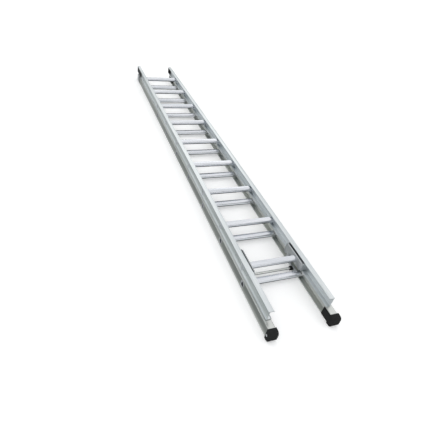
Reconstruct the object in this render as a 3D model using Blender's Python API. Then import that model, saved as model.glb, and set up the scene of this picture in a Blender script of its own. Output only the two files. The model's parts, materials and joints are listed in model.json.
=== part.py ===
"""Two-section push-up extension ladder, lying on its back with the climbing face up.

X runs along the rungs, Y from the feet to the top, Z out of the climbing face. Metres.
The fly section lies on the base section, slid right down, with both hooks on a base rung.
"""

import math

import bmesh
import bpy
from mathutils import Matrix, Vector

for old in list(bpy.data.objects):
    bpy.data.objects.remove(old, do_unlink=True)

# ---------------------------------------------------------------- driving dimensions
PITCH = 0.300  # from one rung to the next, in both sections
RUNGS = 9  # rungs in each section
RAIL_LENGTH = 2.945  # each rail, end to end
GAP = 0.0003  # between parts that touch

# base section
BASE_Y0 = -1.499  # foot end of the base rails
BASE_FIRST = 0.288  # foot end to the axis of the first base rung
BASE_BACK = 0.002  # back face of the base rails above the floor
BASE_DEPTH = 0.054
BASE_INNER = 0.141  # half width between the flange edges
BASE_OUTER = 0.176  # half width over the flange edges
BASE_WEB = 0.1725  # half width over the web

# fly section
FLY_Y0 = -1.438
FLY_FIRST = 0.282
FLY_BACK = 0.0585
FLY_DEPTH = 0.055
FLY_INNER = 0.140
FLY_OUTER = 0.167
FLY_WEB = 0.163

WALL = 0.0025  # web of either rail
FLANGE = 0.003
BULB = 0.003  # the thick inner edge of a flange

# rungs: a D with its flat side up
RUNG_HALF = 0.0155
RUNG_TOP = 0.014
RUNG_BOTTOM = 0.014
BASE_RUNG_Z = 0.029
FLY_RUNG_Z = 0.0835
RUNG_STEPS = 8  # faces round the underside
NECK_IN = 0.0015  # the neck through the web is this much smaller than the rung
BORE_IN = 0.0028
GROOVE = 0.0010
FLARE = 0.0022  # thickness of the turned-over rim outside the web

# hooks
PIVOT_Y = -1.111
PIVOT_Z = 0.0570
PIN_R = 0.0040
HOOK_X0 = 0.1125
HOOK_X1 = 0.1225
BRACKET_X0 = 0.1262
BRACKET_X1 = 0.1312
BRACKET_Y0 = -1.219
BRACKET_Y1 = -1.061
TIE_R = 0.0060
TIE_Y = PIVOT_Y - 0.0650
TIE_Z = PIVOT_Z - 0.0148
COLLAR_R = 0.0120
RIVET_Y = (-1.207, -1.075)
RIVET_Z = 0.0860
RIVET_R = 0.0025

# shoes, caps and guides
SOLE_Y = -1.511
SHOE_TOP = -1.4805
SHOE_PLUG = -1.4310
SHOE_ROUND = 0.0180  # radius of the toe and the heel
SHOE_BOLT_Y = -1.4900
SHOE_BOLT_R = 0.0030
GUIDE_Y0 = 1.370
GUIDE_Y1 = 1.435
GUIDE_RIVETS = (1.385, 1.415)
CAP_Y0 = 1.332  # lower edge of the side plate of a fly end cap
CAP_Y1 = 1.511

BASE_FRONT = BASE_BACK + BASE_DEPTH
FLY_FRONT = FLY_BACK + FLY_DEPTH
BASE_Y1 = BASE_Y0 + RAIL_LENGTH
FLY_Y1 = FLY_Y0 + RAIL_LENGTH


# ---------------------------------------------------------------- helpers
def material(name, colour, metallic, roughness):
    made = bpy.data.materials.new(name)
    made.use_nodes = True
    shader = made.node_tree.nodes["Principled BSDF"]
    shader.inputs["Base Color"].default_value = (*colour, 1.0)
    shader.inputs["Metallic"].default_value = metallic
    shader.inputs["Roughness"].default_value = roughness
    return made


LOOKS = {
    "aluminium": ((0.78, 0.79, 0.80), 1.0, 0.38),
    "rung": ((0.82, 0.83, 0.84), 1.0, 0.32),
    "casting": ((0.70, 0.71, 0.72), 1.0, 0.50),
    "rubber": ((0.015, 0.015, 0.016), 0.0, 0.75),
    "plastic": ((0.020, 0.020, 0.022), 0.0, 0.45),
    "steel": ((0.60, 0.61, 0.63), 1.0, 0.30),
}


def add_object(name, mesh_data, look=None):
    """A part with its own material or, with no look, a cutter that isn't rendered."""
    made = bpy.data.objects.new(name, mesh_data)
    bpy.context.scene.collection.objects.link(made)
    if look is None:
        made.hide_render = True
        made.display_type = "WIRE"
    else:
        colour, metallic, roughness = LOOKS[look]
        mesh_data.materials.append(material(name, colour, metallic, roughness))
        mesh_data.shade_smooth()
        mesh_data.set_sharp_from_angle(angle=math.radians(32))
    return made


def add_empty(name, place, parent=None):
    made = bpy.data.objects.new(name, None)
    made.empty_display_size = 0.08
    bpy.context.scene.collection.objects.link(made)
    made.parent = parent
    made.location = Vector(place) - (Vector(place_of(parent)) if parent else Vector())
    return made


def place_of(empty):
    """Where an empty stands, as the sum of the locations up its parents."""
    total = Vector()
    while empty is not None:
        total = total + empty.location
        empty = empty.parent
    return total


def settle(part, parent, origin):
    """Moves a part's origin to a point of its own and hangs it on a section."""
    origin = Vector(origin)
    part.data.transform(Matrix.Translation(-origin))
    part.parent = parent
    part.location = origin - place_of(parent)
    return part


def finish_mesh(name, bm):
    bmesh.ops.recalc_face_normals(bm, faces=bm.faces)
    if bm.calc_volume(signed=True) < 0:
        bmesh.ops.reverse_faces(bm, faces=bm.faces)
    data = bpy.data.meshes.new(name)
    bm.to_mesh(data)
    bm.free()
    return data


def point(axis, along, u, v):
    """A point at `along` on the axis; u and v are the other two in X, Y, Z order."""
    if axis == "X":
        return Vector((along, u, v))
    if axis == "Y":
        return Vector((u, along, v))
    return Vector((u, v, along))


def add_prism(bm, axis, outline, start, end):
    """A closed prism of the outline from start to end along the axis."""
    low = [bm.verts.new(point(axis, start, u, v)) for u, v in outline]
    high = [bm.verts.new(point(axis, end, u, v)) for u, v in outline]
    bm.faces.new(low)
    bm.faces.new(list(reversed(high)))
    count = len(outline)
    for i in range(count):
        j = (i + 1) % count
        bm.faces.new((low[i], low[j], high[j], high[i]))


def prism(name, axis, outline, start, end, look=None):
    bm = bmesh.new()
    add_prism(bm, axis, outline, start, end)
    return add_object(name, finish_mesh(name, bm), look)


def rect(u0, u1, v0, v1):
    return [(u0, v0), (u1, v0), (u1, v1), (u0, v1)]


def circle(cu, cv, radius, count=18):
    turn = 2 * math.pi / count
    return [
        (cu + radius * math.cos(i * turn), cv + radius * math.sin(i * turn))
        for i in range(count)
    ]


def arc(cu, cv, radius, start, end, count):
    """Points on an arc, angles in degrees."""
    found = []
    for i in range(count + 1):
        angle = math.radians(start + (end - start) * i / count)
        found.append((cu + radius * math.cos(angle), cv + radius * math.sin(angle)))
    return found


def boolean(target, operation, other):
    step = target.modifiers.new(operation.lower() + "_" + other.name, "BOOLEAN")
    step.operation = operation
    step.solver = "EXACT"
    step.object = other
    return step


def cut(target, other):
    boolean(target, "DIFFERENCE", other)


def join(target, other):
    boolean(target, "UNION", other)


def mirrored(points, side):
    return [(side * u, v) for u, v in points]


def span(side, x0, x1):
    return (x0, x1) if side > 0 else (-x1, -x0)


SIDES = (("left", -1), ("right", 1))

base_section = add_empty("base_section", (0.0, BASE_Y0, 0.0))
fly_section = add_empty("fly_section", (0.0, FLY_Y0, FLY_BACK), base_section)
hook_axis = add_empty("hook_axis", (0.0, PIVOT_Y, PIVOT_Z), fly_section)


# ---------------------------------------------------------------- rungs
def rung_outline(shrink, grooves):
    """The D in (Y, Z) about the rung axis. Every call gives the same number of points."""
    half = RUNG_HALF - shrink
    top = RUNG_TOP - shrink
    bottom = RUNG_BOTTOM - shrink
    corner = 0.0025
    deep = GROOVE if grooves else 0.0
    outline = [(top, half - corner)]
    for centre in (0.0050, -0.0050):
        outline += [
            (top, centre + 0.0018),
            (top - deep, centre + 0.0012),
            (top - deep, centre - 0.0012),
            (top, centre - 0.0018),
        ]
    outline.append((top, corner - half))
    outline.append((top - 0.3 * corner, 0.3 * corner - half))
    outline.append((top - corner, -half))
    for i in range(RUNG_STEPS + 1):
        angle = math.pi * i / RUNG_STEPS
        outline.append((-bottom * math.sin(angle), -half * math.cos(angle)))
    outline.append((top - corner, half))
    outline.append((top - 0.3 * corner, half - 0.3 * corner))
    return outline


def bore_outline(shrink):
    """The same D with no grooves and no points along its flat side."""
    plain = rung_outline(shrink, False)
    return [plain[0]] + plain[9:]


def ring(bm, x, outline, y, z):
    return [bm.verts.new(Vector((x, y + u, z + v))) for u, v in outline]


def skin(bm, first, second):
    count = len(first)
    for i in range(count):
        j = (i + 1) % count
        bm.faces.new((first[i], first[j], second[j], second[i]))


def make_rung(name, y, z, web_outer):
    """A tube with a shoulder inside each web, a neck through it and a rim outside."""
    shoulder = web_outer - WALL - GAP
    rim = web_outer + GAP
    end = rim + FLARE
    body = rung_outline(0.0, True)
    neck = rung_outline(NECK_IN, False)
    flare = rung_outline(-0.0006, False)
    stations = [
        (-end, flare),
        (-rim, flare),
        (-rim, neck),
        (-shoulder, neck),
        (-shoulder, body),
        (shoulder, body),
        (shoulder, neck),
        (rim, neck),
        (rim, flare),
        (end, flare),
    ]
    bm = bmesh.new()
    rings = [ring(bm, x, outline, y, z) for x, outline in stations]
    for first, second in zip(rings, rings[1:]):
        skin(bm, first, second)
    hole = bore_outline(BORE_IN)
    inner = [ring(bm, x, hole, y, z) for x in (-end, end)]
    skin(bm, inner[1], inner[0])
    for outer, inside in ((rings[0], inner[0]), (rings[-1], inner[1])):
        matches = [0] + list(range(9, len(outer)))
        for k in range(len(matches)):
            following = (k + 1) % len(matches)
            if k == 0:
                bm.faces.new(outer[0:10] + [inside[1], inside[0]])
                continue
            bm.faces.new(
                (
                    outer[matches[k]],
                    outer[matches[following]],
                    inside[following],
                    inside[k],
                )
            )
    bmesh.ops.triangulate(bm, faces=bm.faces)
    return add_object(name, finish_mesh(name, bm), "rung")


def base_rung_y(index):
    return BASE_Y0 + BASE_FIRST + index * PITCH


def fly_rung_y(index):
    return FLY_Y0 + FLY_FIRST + index * PITCH


for i in range(RUNGS):
    rung = make_rung(f"base_rung_{i + 1}", base_rung_y(i), BASE_RUNG_Z, BASE_WEB)
    settle(rung, base_section, (0.0, base_rung_y(i), BASE_RUNG_Z))
    rung = make_rung(f"fly_rung_{i + 1}", fly_rung_y(i), FLY_RUNG_Z, FLY_WEB)
    settle(rung, fly_section, (0.0, fly_rung_y(i), FLY_RUNG_Z))


# ---------------------------------------------------------------- rails
def rail_outline(inner, outer, web, back, front, grow=0.0):
    """A channel open towards the rungs, with small lips outside the web, in (X, Z)."""
    ease = 0.0008 if grow == 0.0 else 0.0
    low = back - grow
    high = front + grow
    left = inner - grow
    right = outer + grow
    inside = web - WALL - grow
    floor = back + FLANGE + grow
    roof = front - FLANGE - grow
    edge = inner + BULB + grow
    outline = [
        (left + ease, low),
        (right - ease, low),
        (right, low + ease),
        (right, floor),
        (web + grow, floor),
        (web + grow, roof),
        (right, roof),
        (right, high - ease),
        (right - ease, high),
        (left + ease, high),
        (left, high - ease),
        (left, roof - BULB + 0.0005),
        (edge, roof - BULB + 0.0005),
        (edge, roof),
        (inside, roof),
        (inside, floor),
        (edge, floor),
        (edge, floor + BULB - 0.0005),
        (left, floor + BULB - 0.0005),
        (left, low + ease),
    ]
    if ease == 0.0:
        kept = []
        for spot in outline:
            if not kept or (Vector(spot) - Vector(kept[-1])).length > 1e-7:
                kept.append(spot)
        if (Vector(kept[0]) - Vector(kept[-1])).length < 1e-7:
            kept.pop()
        outline = kept
    return outline


def rung_holes(name, side, web, places, z, more):
    """One cutter for every hole through a web: the rung necks, then round ones."""
    x0, x1 = span(side, web - WALL - 0.004, web + 0.004)
    bm = bmesh.new()
    outline = bore_outline(NECK_IN - GAP)
    for y in places:
        add_prism(bm, "X", [(y + u, z + v) for u, v in outline], x0, x1)
    for y, height, radius in more:
        add_prism(bm, "X", circle(y, height, radius), x0, x1)
    return add_object(name, finish_mesh(name, bm))


base_profile = rail_outline(BASE_INNER, BASE_OUTER, BASE_WEB, BASE_BACK, BASE_FRONT)
fly_profile = rail_outline(FLY_INNER, FLY_OUTER, FLY_WEB, FLY_BACK, FLY_FRONT)
base_places = [base_rung_y(i) for i in range(RUNGS)]
fly_places = [fly_rung_y(i) for i in range(RUNGS)]

for side_name, side in SIDES:
    rail = prism(
        f"base_rail_{side_name}",
        "Y",
        mirrored(base_profile, side),
        BASE_Y0,
        BASE_Y1,
        "aluminium",
    )
    extra = [(SHOE_BOLT_Y, BASE_RUNG_Z, SHOE_BOLT_R + GAP)]
    extra += [(y, BASE_RUNG_Z, RIVET_R + GAP) for y in GUIDE_RIVETS]
    cut(
        rail,
        rung_holes(
            f"cut_base_{side_name}", side, BASE_WEB, base_places, BASE_RUNG_Z, extra
        ),
    )
    settle(rail, base_section, (side * BASE_WEB, BASE_Y0, BASE_BACK))
    rail = prism(
        f"fly_rail_{side_name}",
        "Y",
        mirrored(fly_profile, side),
        FLY_Y0,
        FLY_Y1,
        "aluminium",
    )
    extra = [(y, RIVET_Z, RIVET_R + GAP) for y in RIVET_Y]
    cut(
        rail,
        rung_holes(
            f"cut_fly_{side_name}", side, FLY_WEB, fly_places, FLY_RUNG_Z, extra
        ),
    )
    settle(rail, fly_section, (side * FLY_WEB, FLY_Y0, FLY_BACK))


# ---------------------------------------------------------------- rubber shoes
def shoe_side_outline():
    """Side view of the boot in (Y, Z): well rounded at toe and heel, with tread grooves."""
    top = BASE_FRONT + 0.0035
    outline = [(SHOE_TOP, 0.0), (SHOE_TOP, top)]
    outline += arc(SOLE_Y + SHOE_ROUND, top - SHOE_ROUND, SHOE_ROUND, 90, 180, 7)
    tread = 0.0018
    for centre in (0.0370, 0.0225):
        outline += [
            (SOLE_Y, centre + 0.0018),
            (SOLE_Y + tread, centre + 0.0012),
            (SOLE_Y + tread, centre - 0.0012),
            (SOLE_Y, centre - 0.0018),
        ]
    outline += arc(SOLE_Y + SHOE_ROUND, SHOE_ROUND, SHOE_ROUND, 180, 270, 7)
    return outline


for side_name, side in SIDES:
    x0, x1 = span(side, BASE_INNER - 0.0040, BASE_OUTER + 0.0040)
    boot = prism(f"shoe_{side_name}", "X", shoe_side_outline(), x0, x1, "rubber")
    x0, x1 = span(side, BASE_INNER - 0.0025, BASE_WEB - WALL)
    plug = prism(
        f"add_plug_{side_name}",
        "X",
        rect(SHOE_TOP - 0.010, SHOE_PLUG, BASE_BACK + FLANGE, BASE_FRONT - FLANGE),
        x0,
        x1,
    )
    join(boot, plug)
    slot = rail_outline(
        BASE_INNER, BASE_OUTER, BASE_WEB, BASE_BACK, BASE_FRONT, GAP
    )
    socket = prism(
        f"cut_socket_{side_name}",
        "Y",
        mirrored(slot, side),
        BASE_Y0 - GAP,
        SHOE_PLUG + 0.020,
    )
    cut(boot, socket)
    x0, x1 = span(side, BASE_WEB - 0.016, BASE_OUTER + 0.010)
    drill = prism(
        f"cut_bolt_{side_name}",
        "X",
        circle(SHOE_BOLT_Y, BASE_RUNG_Z, SHOE_BOLT_R + GAP),
        x0,
        x1,
    )
    cut(boot, drill)
    settle(boot, base_section, (side * BASE_WEB, SOLE_Y, 0.0))


# ---------------------------------------------------------------- rivets and bolts
def make_turned(name, side, y, z, steps, look):
    """A turned part on an X axis: steps are (x, radius), from the inner end outwards."""
    count = 12
    bm = bmesh.new()
    rings = []
    for x, radius in steps:
        outline = circle(0.0, 0.0, radius, count)
        rings.append(ring(bm, side * x, outline, y, z))
    for first, second in zip(rings, rings[1:]):
        skin(bm, first, second)
    bm.faces.new(rings[0])
    bm.faces.new(list(reversed(rings[-1])))
    return add_object(name, finish_mesh(name, bm), look)


def rivet_steps(tail, inside, outside, shank, head_height):
    """A tail, a shank between the two faces and a low domed head outside."""
    return [
        (tail, shank * 1.5),
        (inside - GAP, shank * 1.7),
        (inside - GAP, shank),
        (outside + GAP, shank),
        (outside + GAP, shank * 2.0),
        (outside + head_height * 0.5, shank * 1.8),
        (outside + head_height, shank * 1.0),
    ]


for side_name, side in SIDES:
    steps = [
        (BASE_WEB - 0.0155, SHOE_BOLT_R),
        (BASE_OUTER + 0.0040 + GAP, SHOE_BOLT_R),
        (BASE_OUTER + 0.0040 + GAP, 0.0062),
        (BASE_OUTER + 0.0058, 0.0058),
        (BASE_OUTER + 0.0070, 0.0035),
    ]
    bolt = make_turned(
        f"shoe_bolt_{side_name}", side, SHOE_BOLT_Y, BASE_RUNG_Z, steps, "steel"
    )
    settle(bolt, base_section, (side * BASE_OUTER, SHOE_BOLT_Y, BASE_RUNG_Z))
    for k, y in enumerate(GUIDE_RIVETS):
        steps = rivet_steps(
            BASE_WEB - WALL - 0.0022,
            BASE_WEB - WALL,
            BASE_OUTER + 0.0033,
            RIVET_R,
            0.0020,
        )
        rivet = make_turned(
            f"guide_rivet_{side_name}_{k + 1}", side, y, BASE_RUNG_Z, steps, "steel"
        )
        settle(rivet, base_section, (side * BASE_WEB, y, BASE_RUNG_Z))
    for k, y in enumerate(RIVET_Y):
        steps = rivet_steps(
            FLY_WEB - WALL - GAP - 0.0035 - 0.0018,
            FLY_WEB - WALL - GAP - 0.0035,
            FLY_WEB,
            RIVET_R,
            0.0022,
        )
        rivet = make_turned(
            f"hook_rivet_{side_name}_{k + 1}", side, y, RIVET_Z, steps, "steel"
        )
        settle(rivet, fly_section, (side * FLY_WEB, y, RIVET_Z))


# ---------------------------------------------------------------- guide brackets
for side_name, side in SIDES:
    outline = [
        (BASE_WEB + GAP, 0.0100),
        (BASE_OUTER + 0.0033, 0.0100),
        (BASE_OUTER + 0.0033, 0.0652),
        (0.1645, 0.0652),
        (0.1645, 0.0623),
        (BASE_OUTER + GAP, 0.0623),
        (BASE_OUTER + GAP, 0.0500),
        (BASE_WEB + GAP, 0.0500),
    ]
    guide = prism(
        f"guide_bracket_{side_name}",
        "Y",
        mirrored(outline, side),
        GUIDE_Y0,
        GUIDE_Y1,
        "casting",
    )
    x0, x1 = span(side, BASE_WEB - 0.004, BASE_OUTER + 0.010)
    bm = bmesh.new()
    for y in GUIDE_RIVETS:
        add_prism(bm, "X", circle(y, BASE_RUNG_Z, RIVET_R + GAP), x0, x1)
    holes = add_object(f"cut_guide_{side_name}", finish_mesh("cut_guide", bm))
    cut(guide, holes)
    settle(guide, base_section, (side * BASE_OUTER, GUIDE_Y0, BASE_BACK))


# ---------------------------------------------------------------- plastic end caps
for side_name, side in SIDES:
    x0, x1 = span(side, BASE_INNER - 0.001, BASE_OUTER + 0.001)
    cap = prism(
        f"base_cap_{side_name}",
        "Y",
        rect(x0, x1, 0.0, BASE_FRONT + 0.0008),
        BASE_Y1 + GAP,
        BASE_Y1 + 0.0045,
        "plastic",
    )
    x0, x1 = span(side, BASE_INNER + 0.0045, BASE_WEB - WALL - GAP)
    tongue = prism(
        f"add_base_tongue_{side_name}",
        "Y",
        rect(x0, x1, BASE_BACK + FLANGE + GAP, BASE_FRONT - FLANGE - GAP),
        BASE_Y1 - 0.018,
        BASE_Y1 + 0.002,
    )
    join(cap, tongue)
    settle(cap, base_section, (side * BASE_WEB, BASE_Y1, BASE_BACK))

    x0, x1 = span(side, FLY_INNER, FLY_OUTER)
    cap = prism(
        f"fly_cap_{side_name}",
        "Y",
        rect(x0, x1, FLY_BACK, FLY_FRONT),
        FLY_Y1 + GAP,
        CAP_Y1,
        "plastic",
    )
    x0, x1 = span(side, FLY_WEB + GAP, FLY_OUTER)
    plate = prism(
        f"add_fly_plate_{side_name}",
        "Y",
        rect(x0, x1, 0.0665, FLY_FRONT - FLANGE - GAP),
        CAP_Y0,
        FLY_Y1 + 0.002,
    )
    join(cap, plate)
    x0, x1 = span(side, FLY_INNER + 0.0090, FLY_WEB - WALL - GAP)
    tongue = prism(
        f"add_fly_tongue_{side_name}",
        "Y",
        rect(x0, x1, FLY_BACK + FLANGE + GAP, FLY_FRONT - FLANGE - GAP),
        FLY_Y1 - 0.016,
        FLY_Y1 + 0.002,
    )
    join(cap, tongue)
    settle(cap, fly_section, (side * FLY_WEB, FLY_Y1, FLY_BACK))


# ---------------------------------------------------------------- hook brackets
def bracket_side_outline():
    """Side plate in (Y, Z): it reaches back round the pivot and under the base flange."""
    lug = arc(PIVOT_Y, PIVOT_Z, 0.0100, 200, 340, 7)
    return (
        [
            (BRACKET_Y0, 0.0700),
            (BRACKET_Y0 + 0.006, 0.0640),
            (PIVOT_Y - 0.024, 0.0640),
        ]
        + lug
        + [
            (BRACKET_Y1 - 0.0220, 0.0560),
            (BRACKET_Y1 - 0.0180, 0.0462),
            (BRACKET_Y1, 0.0462),
            (BRACKET_Y1, 0.1000),
            (BRACKET_Y1 - 0.0080, 0.1080),
            (BRACKET_Y0 + 0.0100, 0.1080),
            (BRACKET_Y0, 0.0980),
        ]
    )


for side_name, side in SIDES:
    x0, x1 = span(side, BRACKET_X0, BRACKET_X1)
    bracket = prism(
        f"hook_bracket_{side_name}", "X", bracket_side_outline(), x0, x1, "casting"
    )
    plate_in = FLY_WEB - WALL - GAP - 0.0035
    x0, x1 = span(side, plate_in, FLY_WEB - WALL - GAP)
    plate = prism(
        f"add_web_plate_{side_name}",
        "X",
        rect(BRACKET_Y0, BRACKET_Y1, 0.0650, 0.1075),
        x0,
        x1,
    )
    join(bracket, plate)
    x0, x1 = span(side, BRACKET_X1 - 0.001, plate_in + 0.001)
    for k, (y0, y1) in enumerate(
        ((BRACKET_Y0, BRACKET_Y0 + 0.005), (BRACKET_Y1 - 0.005, BRACKET_Y1))
    ):
        rib = prism(
            f"add_rib_{side_name}_{k}", "X", rect(y0, y1, 0.0660, 0.1065), x0, x1
        )
        join(bracket, rib)
    x0, x1 = span(side, BRACKET_X1 - 0.001, 0.1500)
    foot = prism(
        f"add_guide_foot_{side_name}",
        "X",
        rect(BRACKET_Y1 - 0.0180, BRACKET_Y1, 0.0462, 0.0490),
        x0,
        x1,
    )
    join(bracket, foot)
    x0, x1 = span(side, BRACKET_X0 - 0.01, FLY_WEB)
    opening = rung_outline(-GAP, False)
    opening = [(fly_rung_y(0) + u, FLY_RUNG_Z + v) for u, v in opening]
    slot = prism(
        f"cut_rung_way_{side_name}",
        "X",
        [opening[0]] + opening[9:],
        x0,
        x1,
    )
    cut(bracket, slot)
    bm = bmesh.new()
    for y in RIVET_Y:
        add_prism(bm, "X", circle(y, RIVET_Z, RIVET_R + GAP), *span(side, 0.150, 0.162))
    add_prism(
        bm, "X", circle(PIVOT_Y, PIVOT_Z, PIN_R + GAP), *span(side, 0.120, 0.136)
    )
    holes = add_object(f"cut_bracket_{side_name}", finish_mesh("cut_bracket", bm))
    cut(bracket, holes)
    settle(bracket, fly_section, (side * BRACKET_X1, PIVOT_Y, PIVOT_Z))


# ---------------------------------------------------------------- swinging hooks
def hook_outline():
    """The hook in (Y, Z) about its pivot, resting over a base rung."""
    boss = arc(0.0, 0.0, 0.0090, 100, -100, 12)
    reach = 0.0866
    sole = []
    for depth in (-0.0118, -0.0160, -0.0210, -0.0260, -0.0300):
        sole.append((-math.sqrt(reach * reach - depth * depth), depth))
    outline = [
        (-0.0560, -0.0092),
        (-0.0640, -0.0040),
        (-0.0985, -0.0040),
        (-0.1015, -0.0060),
        (-0.1015, -0.0092),
        (-0.0985, -0.0112),
    ]
    outline += sole
    outline += [
        (-0.0740, -0.0300),
        (-0.0640, -0.0260),
        (-0.0520, -0.0180),
    ]
    return outline + list(reversed(boss))


for side_name, side in SIDES:
    x0, x1 = span(side, HOOK_X0, HOOK_X1)
    outline = [(PIVOT_Y + u, PIVOT_Z + v) for u, v in hook_outline()]
    hook = prism(f"hook_{side_name}", "X", outline, x0, x1, "casting")
    bm = bmesh.new()
    x0, x1 = span(side, HOOK_X0 - 0.004, HOOK_X1 + 0.004)
    add_prism(bm, "X", circle(PIVOT_Y, PIVOT_Z, PIN_R + GAP), x0, x1)
    add_prism(bm, "X", circle(TIE_Y, TIE_Z, TIE_R + GAP), x0, x1)
    holes = add_object(f"cut_hook_{side_name}", finish_mesh("cut_hook", bm))
    cut(hook, holes)
    settle(hook, hook_axis, (side * HOOK_X0, PIVOT_Y, PIVOT_Z))

    steps = [
        (HOOK_X0 - 0.0038, 0.0052),
        (HOOK_X0 - 0.0028, 0.0066),
        (HOOK_X0 - GAP, 0.0066),
        (HOOK_X0 - GAP, PIN_R),
        (BRACKET_X1 + 0.0010, PIN_R),
        (BRACKET_X1 + 0.0010, 0.0056),
        (BRACKET_X1 + 0.0028, 0.0046),
    ]
    pin = make_turned(
        f"pivot_pin_{side_name}", side, PIVOT_Y, PIVOT_Z, steps, "steel"
    )
    settle(pin, fly_section, (side * HOOK_X0, PIVOT_Y, PIVOT_Z))

    x0, x1 = span(side, HOOK_X0 - 0.0140, HOOK_X0 - 0.0004)
    collar = prism(
        f"hook_collar_{side_name}",
        "X",
        circle(TIE_Y, TIE_Z, COLLAR_R),
        x0,
        x1,
        "plastic",
    )
    x0, x1 = span(side, HOOK_X0 - 0.020, HOOK_X0 + 0.004)
    hole = prism(
        f"cut_collar_{side_name}", "X", circle(TIE_Y, TIE_Z, TIE_R + GAP), x0, x1
    )
    cut(collar, hole)
    settle(collar, hook_axis, (side * HOOK_X0, TIE_Y, TIE_Z))

tie = prism(
    "tie_bar",
    "X",
    circle(TIE_Y, TIE_Z, TIE_R),
    0.0008 - HOOK_X1,
    HOOK_X1 - 0.0008,
    "aluminium",
)
settle(tie, hook_axis, (0.0, TIE_Y, TIE_Z))


# ---------------------------------------------------------------- springs
def make_spring(name, side):
    """A torsion spring round the pivot pin, with one leg along the hook."""
    wire = 0.0006
    coil = 0.0056
    turns = 1.75
    steps = 26
    path = []
    x_first = HOOK_X1 + 0.0003 + wire + 0.0001
    x_last = BRACKET_X0 - 0.0003 - wire - 0.0001
    for i in range(steps + 1):
        angle = 2 * math.pi * turns * i / steps
        x = x_first + (x_last - x_first) * i / steps
        path.append(
            Vector(
                (
                    side * x,
                    PIVOT_Y + coil * math.cos(angle),
                    PIVOT_Z + coil * math.sin(angle),
                )
            )
        )
    lead = path[0] + Vector((0.0, 0.0, -0.001))
    start = Vector((path[0].x, path[0].y - 0.0006, PIVOT_Z - 0.0085))
    path = [start, lead] + path[1:]
    bm = bmesh.new()
    rings = []
    sides = 5
    for i, spot in enumerate(path):
        before = path[max(i - 1, 0)]
        after = path[min(i + 1, len(path) - 1)]
        along = (after - before).normalized()
        across = Vector((1.0, 0.0, 0.0))
        across = (across - along * across.dot(along)).normalized()
        other = along.cross(across)
        rings.append(
            [
                bm.verts.new(
                    spot
                    + across * wire * math.cos(2 * math.pi * k / sides)
                    + other * wire * math.sin(2 * math.pi * k / sides)
                )
                for k in range(sides)
            ]
        )
    for first, second in zip(rings, rings[1:]):
        skin(bm, first, second)
    bm.faces.new(rings[0])
    bm.faces.new(list(reversed(rings[-1])))
    return add_object(name, finish_mesh(name, bm), "steel")


for side_name, side in SIDES:
    spring = make_spring(f"hook_spring_{side_name}", side)
    settle(spring, fly_section, (side * HOOK_X1, PIVOT_Y, PIVOT_Z))
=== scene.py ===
"""Looks of a two-section aluminium extension ladder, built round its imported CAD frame.

X runs along the rungs, Y from the feet to the top, Z out of the climbing face. Metres.
The base section lies on the floor with the fly section on top of it, slid right down.
"""

import json
import math

import bmesh
import bpy
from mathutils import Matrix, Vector


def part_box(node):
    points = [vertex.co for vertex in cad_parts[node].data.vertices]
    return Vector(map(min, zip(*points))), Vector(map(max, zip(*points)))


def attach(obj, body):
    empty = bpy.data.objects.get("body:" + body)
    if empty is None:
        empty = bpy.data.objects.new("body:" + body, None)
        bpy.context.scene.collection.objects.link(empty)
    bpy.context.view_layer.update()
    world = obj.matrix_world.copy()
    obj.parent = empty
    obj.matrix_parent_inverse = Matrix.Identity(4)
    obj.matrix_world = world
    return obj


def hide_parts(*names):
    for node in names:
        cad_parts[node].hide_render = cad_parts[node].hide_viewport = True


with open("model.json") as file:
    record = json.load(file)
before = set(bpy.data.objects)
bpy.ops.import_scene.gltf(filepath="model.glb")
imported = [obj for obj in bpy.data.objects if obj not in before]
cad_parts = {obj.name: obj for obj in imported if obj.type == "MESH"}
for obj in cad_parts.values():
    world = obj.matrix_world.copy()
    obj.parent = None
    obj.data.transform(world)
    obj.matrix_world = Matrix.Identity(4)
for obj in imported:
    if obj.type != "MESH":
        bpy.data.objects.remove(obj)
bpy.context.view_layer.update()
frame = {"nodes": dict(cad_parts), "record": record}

MM = 0.001
SIDES = (("left", -1), ("right", 1))
BODY_OF = {
    node: body
    for body, members in frame["record"]["behaviour"]["bodies"].items()
    for node in members
}
SLOT_OF = {
    part["node"]: part["material_slot"] for part in frame["record"]["subparts"]
}
FASTENERS_OF = {"base": ("guide_rivet", "shoe_bolt"), "fly": ("hook_rivet",)}


# ---------------------------------------------------------------- camera and light
CAMERA_PLACE = (-0.8655, -2.1639, 1.3161)
CAMERA_TURN = (50.293, -8.508, -19.102)  # degrees
CAMERA_LENS = 29.33
CAMERA_SHIFT = (0.0283, -0.0065)


def add_camera():
    """Looks up the ladder from beyond its feet, from the left and above."""
    data = bpy.data.cameras.new("studio_camera")
    data.lens = CAMERA_LENS
    data.shift_x, data.shift_y = CAMERA_SHIFT
    camera = bpy.data.objects.new("studio_camera", data)
    camera.location = CAMERA_PLACE
    camera.rotation_euler = [math.radians(turn) for turn in CAMERA_TURN]
    bpy.context.scene.collection.objects.link(camera)
    bpy.context.scene.camera = camera


def add_softbox(name, place, target, size, power, tint):
    """A square area light that faces a target point."""
    data = bpy.data.lights.new(name, "AREA")
    data.shape = "SQUARE"
    data.size = size
    data.energy = power
    data.color = linear(tint)[:3]
    light = bpy.data.objects.new(name, data)
    light.location = place
    aim = Vector(target) - Vector(place)
    light.rotation_euler = aim.to_track_quat("-Z", "Y").to_euler()
    bpy.context.scene.collection.objects.link(light)


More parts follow.
